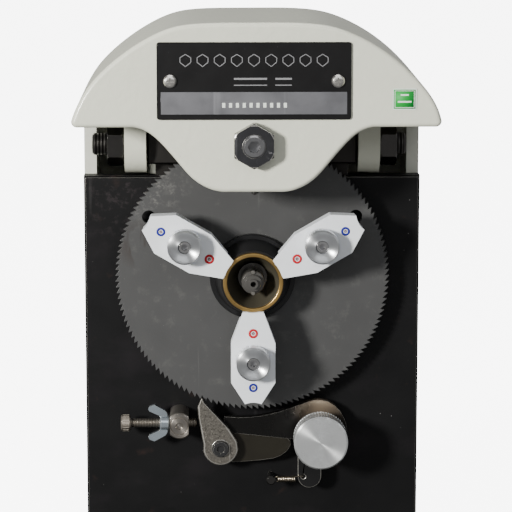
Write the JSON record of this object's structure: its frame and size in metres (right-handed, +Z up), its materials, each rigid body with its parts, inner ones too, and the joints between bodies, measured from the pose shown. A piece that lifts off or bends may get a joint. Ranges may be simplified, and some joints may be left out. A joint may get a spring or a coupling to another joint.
{
  "type": "faceting machine head",
  "caption": "Bench faceting head: a hinged black plate with toothed index wheel, work clamps and index pawl under a painted hood.",
  "frame": {"origin": "centre of the bounding box in plan, on the bench plane under the rubber feet", "axes": "+X to the right seen from the front, +Y towards the back, +Z up; the spindle runs along Y, 142 mm above the bench"},
  "size_m": [0.16, 0.1032, 0.2574],
  "materials": {
    "hood_paint": "light grey hammertone paint",
    "housing_paint": "light grey paint",
    "base_paint": "black paint",
    "black_oxide": "black oxide",
    "rubber": "matte",
    "pad_plastic": "matte",
    "name_plate": "satin black enamel",
    "strip_metal": "satin anodised",
    "nickel": "nickel plate",
    "label": "printed label",
    "bright_steel": "turned",
    "zinc_steel": "zinc plate",
    "dark_steel": "oiled steel",
    "blued_plate": "blued, worn edges",
    "ground_steel": "ground",
    "cast_aluminium": "machined",
    "wheel_steel": "dark phosphate",
    "black_anodised": "black anodised",
    "brass": "turned",
    "nylon": "milled",
    "turned_aluminium": "turned",
    "pawl_steel": "polished, scratched",
    "lever_steel": "polished",
    "olive_plate": "olive passivated",
    "spring_steel": "bright wire"
  },
  "bodies": {
    "frame": {"hood_casting": "hood_paint", "rear_housing": "housing_paint", "rear_cover": "housing_paint", "rear_cover_screws": "black_oxide", "base_plate": "base_paint", "base_bolts": "black_oxide", "rubber_feet": "rubber", "name_plate": "name_plate", "name_plate_strip": "strip_metal", "name_plate_screws": "nickel", "inspection_label": "label", "hood_bolts": "black_oxide", "left_pivot_screw": "bright_steel", "right_pivot_screw": "bright_steel", "left_lock_nut": "zinc_steel", "right_lock_nut": "zinc_steel", "tongue_pin": "bright_steel", "rest_pads": "pad_plastic"},
    "swing_plate": {"front_plate": "blued_plate", "hinge_block": "ground_steel", "hinge_block_screws": "black_oxide", "bearing_housing": "cast_aluminium", "bearing_housing_screws": "black_oxide", "front_bearing": "bright_steel", "rear_bearing": "bright_steel", "bearing_spacer": "cast_aluminium", "adjuster_post": "zinc_steel", "arm_pivot_stud": "bright_steel", "spring_anchor_pin": "bright_steel", "lever_spring": "spring_steel"},
    "index_wheel": {"index_wheel": "wheel_steel", "spindle": "bright_steel", "spindle_nut": "zinc_steel", "wheel_screws": "black_oxide", "hub": "black_anodised", "brass_ring": "brass", "dop_cup": "black_anodised", "collet_nose": "dark_steel", "collet_pins": "bright_steel", "clamp_standoffs": "cast_aluminium", "clamp_studs": "zinc_steel"},
    "clamp_1": {"clamp_plate_1": "nylon"},
    "clamp_2": {"clamp_plate_2": "nylon"},
    "clamp_3": {"clamp_plate_3": "nylon"},
    "thumb_nut_1": {"thumb_nut_1": "turned_aluminium"},
    "thumb_nut_2": {"thumb_nut_2": "turned_aluminium"},
    "thumb_nut_3": {"thumb_nut_3": "turned_aluminium"},
    "lever": {"lever_arm": "lever_steel", "pawl_carrier": "olive_plate", "lever_tail": "base_paint", "release_knob": "nickel", "pawl_screw": "zinc_steel"},
    "pawl": {"index_pawl": "pawl_steel"},
    "adjust_screw": {"adjust_screw": "zinc_steel"},
    "wing_nut": {"wing_nut": "nickel"},
    "stop_screw": {"stop_screw": "dark_steel"},
    "stop_lock_nut": {"stop_lock_nut": "zinc_steel"}
  },
  "joints": [
    {"name": "plate_swing", "type": "hinge", "parent": "frame", "child": "swing_plate", "pos_m": [0, 0.00825, 0.1995], "axis": [-1, 0, 0], "range_deg": [0, 8]},
    {"name": "index_spin", "type": "hinge", "parent": "swing_plate", "child": "index_wheel", "pos_m": [0, 0.00525, 0.142], "axis": [0, -1, 0], "continuous": true},
    {"name": "clamp_1_turn", "type": "hinge", "parent": "index_wheel", "child": "clamp_1", "pos_m": [0.02988, -0.02175, 0.15925], "axis": [0, -1, 0], "continuous": true},
    {"name": "thumb_nut_1_turn", "type": "hinge", "parent": "index_wheel", "child": "thumb_nut_1", "pos_m": [0.02988, -0.02975, 0.15925], "axis": [0, -1, 0], "continuous": true},
    {"name": "clamp_2_turn", "type": "hinge", "parent": "index_wheel", "child": "clamp_2", "pos_m": [-0.02988, -0.02175, 0.15925], "axis": [0, -1, 0], "continuous": true},
    {"name": "thumb_nut_2_turn", "type": "hinge", "parent": "index_wheel", "child": "thumb_nut_2", "pos_m": [-0.02988, -0.02975, 0.15925], "axis": [0, -1, 0], "continuous": true},
    {"name": "clamp_3_turn", "type": "hinge", "parent": "index_wheel", "child": "clamp_3", "pos_m": [0, -0.02175, 0.1075], "axis": [0, -1, 0], "continuous": true},
    {"name": "thumb_nut_3_turn", "type": "hinge", "parent": "index_wheel", "child": "thumb_nut_3", "pos_m": [0, -0.02975, 0.1075], "axis": [0, -1, 0], "continuous": true},
    {"name": "arm_release", "type": "hinge", "parent": "swing_plate", "child": "lever", "pos_m": [0.0302, -0.00075, 0.069], "axis": [0, -1, 0], "range_deg": [0, 2.5], "stiffness_Nm_per_rad": 0.1, "springref_deg": -28.65, "deforming": ["lever_spring"]},
    {"name": "pawl_adjust", "type": "hinge", "parent": "lever", "child": "pawl", "pos_m": [-0.0143, -0.00475, 0.0634], "axis": [0, 1, 0], "range_deg": [0, 0.5]},
    {"name": "adjust_slide", "type": "slide", "parent": "swing_plate", "child": "adjust_screw", "axis": [-1, 0, 0], "range_m": [0, 0.004]},
    {"name": "wing_nut_turn", "type": "hinge", "parent": "adjust_screw", "child": "wing_nut", "pos_m": [-0.0394, -0.00475, 0.075], "axis": [1, 0, 0], "continuous": true},
    {"name": "stop_slide", "type": "slide", "parent": "frame", "child": "stop_screw", "axis": [0, -1, 0], "range_m": [0, 0.003]},
    {"name": "stop_nut_turn", "type": "hinge", "parent": "frame", "child": "stop_lock_nut", "pos_m": [0, -0.04735, 0.2055], "axis": [0, -1, 0], "continuous": true}
  ]
}
